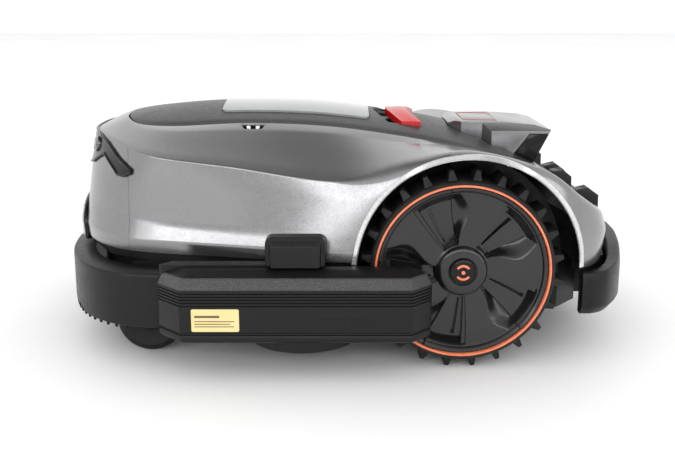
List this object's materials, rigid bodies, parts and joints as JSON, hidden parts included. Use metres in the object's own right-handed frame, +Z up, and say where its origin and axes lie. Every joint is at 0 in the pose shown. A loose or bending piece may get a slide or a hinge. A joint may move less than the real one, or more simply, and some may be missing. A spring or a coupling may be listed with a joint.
{
  "type": "robotic lawn mower",
  "caption": "Robotic lawn mower with a domed shell over two large lugged drive wheels, casters, a floating bumper, a lifting blade disc and a side edge trimmer.",
  "frame": {"origin": "centre of the footprint at ground level", "axes": "+X to the machine's front, +Y to its left where the edge trimmer is, +Z up"},
  "size_m": [0.7154, 0.5008, 0.2911],
  "materials": {
    "silver_paint": "satin metallic paint on moulded plastic",
    "black_plastic": "fine-textured moulded plastic",
    "dark_grey": "satin moulded plastic",
    "panel_grey": "high-gloss panel",
    "gloss_black": "piano black",
    "red_plastic": "semi-gloss moulded plastic",
    "tyre_rubber": "moulded tread rubber",
    "wheel_rubber": "smooth rubber",
    "copper_accent": "satin coloured ring",
    "steel": "brushed",
    "bright_steel": "polished",
    "lens_glass": "coated lens",
    "battery_wrap": "shrink wrap and case",
    "circuit_board": "solder-masked board",
    "module_silver": "satin metallic paint"
  },
  "bodies": {
    "chassis": {"chassis_tray": "black_plastic", "top_shell": "silver_paint", "deck_panel": "dark_grey", "rear_bumper": "black_plastic", "camera_bezel": "gloss_black", "camera_lens_left": "lens_glass", "camera_lens_right": "lens_glass", "nose_panel": "black_plastic", "charge_contact_left": "bright_steel", "charge_contact_right": "bright_steel", "rain_sensor": "bright_steel", "module_body": "module_silver", "module_lid": "module_silver", "module_window_left": "gloss_black", "module_window_right": "gloss_black", "louvre_upper": "black_plastic", "louvre_lower": "black_plastic", "battery_pack": "battery_wrap", "control_board": "circuit_board", "drive_motor_left": "steel", "drive_motor_right": "steel", "keypad": "black_plastic", "status_screen": "gloss_black", "trimmer_bracket": "black_plastic", "trimmer_housing": "black_plastic", "trimmer_base": "black_plastic", "trimmer_motor": "steel"},
    "bumper": {"front_bumper": "black_plastic"},
    "stop": {"stop_button": "red_plastic"},
    "lid": {"control_lid": "panel_grey"},
    "power_key": {"key_power": "dark_grey"},
    "start_key": {"key_start": "dark_grey"},
    "home_key": {"key_home": "dark_grey"},
    "lift": {"lift_carriage": "dark_grey", "blade_motor": "steel", "skid_plate": "black_plastic"},
    "screw": {"lift_screw": "steel"},
    "disc": {"blade_disc": "dark_grey"},
    "blade_a": {"cutting_blade_1": "steel"},
    "blade_b": {"cutting_blade_2": "steel"},
    "blade_c": {"cutting_blade_3": "steel"},
    "trim_disc": {"trimmer_disc": "dark_grey"},
    "trim_blade_a": {"trimmer_blade_1": "steel"},
    "trim_blade_b": {"trimmer_blade_2": "steel"},
    "wheel_left": {"tyre_left": "tyre_rubber", "rim_left": "dark_grey", "accent_ring_left": "copper_accent", "hub_cap_left": "gloss_black", "axle_left": "steel"},
    "fork_left": {"caster_fork_left": "black_plastic", "caster_axle_left": "steel"},
    "roller_left": {"caster_wheel_left": "wheel_rubber"},
    "wheel_right": {"tyre_right": "tyre_rubber", "rim_right": "dark_grey", "accent_ring_right": "copper_accent", "hub_cap_right": "gloss_black", "axle_right": "steel"},
    "fork_right": {"caster_fork_right": "black_plastic", "caster_axle_right": "steel"},
    "roller_right": {"caster_wheel_right": "wheel_rubber"}
  },
  "joints": [
    {"name": "bumper_push", "type": "slide", "parent": "chassis", "child": "bumper", "axis": [-1, 0, 0], "range_m": [0, 0.006], "stiffness_N_per_m": 1500, "springref_m": -0.003},
    {"name": "stop_press", "type": "slide", "parent": "chassis", "child": "stop", "axis": [0, 0, -1], "range_m": [0, 0.005], "stiffness_N_per_m": 1500, "springref_m": -0.0015},
    {"name": "lid_hinge", "type": "hinge", "parent": "chassis", "child": "lid", "pos_m": [0.15825, -0.0196, 0.28989], "axis": [0, 1, 0], "range_deg": [0, 78]},
    {"name": "power_key_press", "type": "slide", "parent": "chassis", "child": "power_key", "axis": [0, 0, -1], "range_m": [0, 0.0015], "stiffness_N_per_m": 300, "springref_m": -0.0008},
    {"name": "start_key_press", "type": "slide", "parent": "chassis", "child": "start_key", "axis": [0, 0, -1], "range_m": [0, 0.0015], "stiffness_N_per_m": 300, "springref_m": -0.0008},
    {"name": "home_key_press", "type": "slide", "parent": "chassis", "child": "home_key", "axis": [0, 0, -1], "range_m": [0, 0.0015], "stiffness_N_per_m": 300, "springref_m": -0.0008},
    {"name": "wheel_spin_left", "type": "hinge", "parent": "chassis", "child": "wheel_left", "pos_m": [-0.12975, 0.1404, 0.1175], "axis": [0, 1, 0], "continuous": true},
    {"name": "caster_swivel_left", "type": "hinge", "parent": "chassis", "child": "fork_left", "pos_m": [0.22925, 0.1354, 0.11], "axis": [0, 0, 1], "continuous": true},
    {"name": "caster_roll_left", "type": "hinge", "parent": "fork_left", "child": "roller_left", "pos_m": [0.24125, 0.1354, 0.042], "axis": [0, 1, 0], "continuous": true},
    {"name": "wheel_spin_right", "type": "hinge", "parent": "chassis", "child": "wheel_right", "pos_m": [-0.12975, -0.1796, 0.1175], "axis": [0, 1, 0], "continuous": true},
    {"name": "caster_swivel_right", "type": "hinge", "parent": "chassis", "child": "fork_right", "pos_m": [0.22925, -0.1746, 0.11], "axis": [0, 0, 1], "continuous": true},
    {"name": "caster_roll_right", "type": "hinge", "parent": "fork_right", "child": "roller_right", "pos_m": [0.24125, -0.1746, 0.042], "axis": [0, 1, 0], "continuous": true},
    {"name": "cut_height", "type": "slide", "parent": "chassis", "child": "lift", "axis": [0, 0, 1], "range_m": [-0.018, 0.025]},
    {"name": "screw_turn", "type": "hinge", "parent": "chassis", "child": "screw", "pos_m": [0.10225, -0.0196, 0.12], "axis": [0, 0, 1], "range_deg": [-460, 335]},
    {"name": "disc_spin", "type": "hinge", "parent": "lift", "child": "disc", "pos_m": [0.04325, -0.0196, 0.043], "axis": [0, 0, 1], "continuous": true},
    {"name": "blade_a_pivot", "type": "hinge", "parent": "disc", "child": "blade_a", "pos_m": [0.12125, -0.0196, 0.04], "axis": [0, 0, 1], "continuous": true},
    {"name": "blade_b_pivot", "type": "hinge", "parent": "disc", "child": "blade_b", "pos_m": [0.00425, 0.04795, 0.04], "axis": [0, 0, 1], "continuous": true},
    {"name": "blade_c_pivot", "type": "hinge", "parent": "disc", "child": "blade_c", "pos_m": [0.00425, -0.08715, 0.04], "axis": [0, 0, 1], "continuous": true},
    {"name": "trim_disc_spin", "type": "hinge", "parent": "chassis", "child": "trim_disc", "pos_m": [0.05325, 0.1804, 0.045], "axis": [0, 0, 1], "continuous": true},
    {"name": "trim_blade_a_pivot", "type": "hinge", "parent": "trim_disc", "child": "trim_blade_a", "pos_m": [0.08225, 0.1804, 0.0425], "axis": [0, 0, 1], "continuous": true},
    {"name": "trim_blade_b_pivot", "type": "hinge", "parent": "trim_disc", "child": "trim_blade_b", "pos_m": [0.02425, 0.1804, 0.0425], "axis": [0, 0, 1], "continuous": true}
  ],
  "couplings": [
    {"joint": "screw_turn", "follows": "cut_height", "rad_per_m": -314.16}
  ]
}
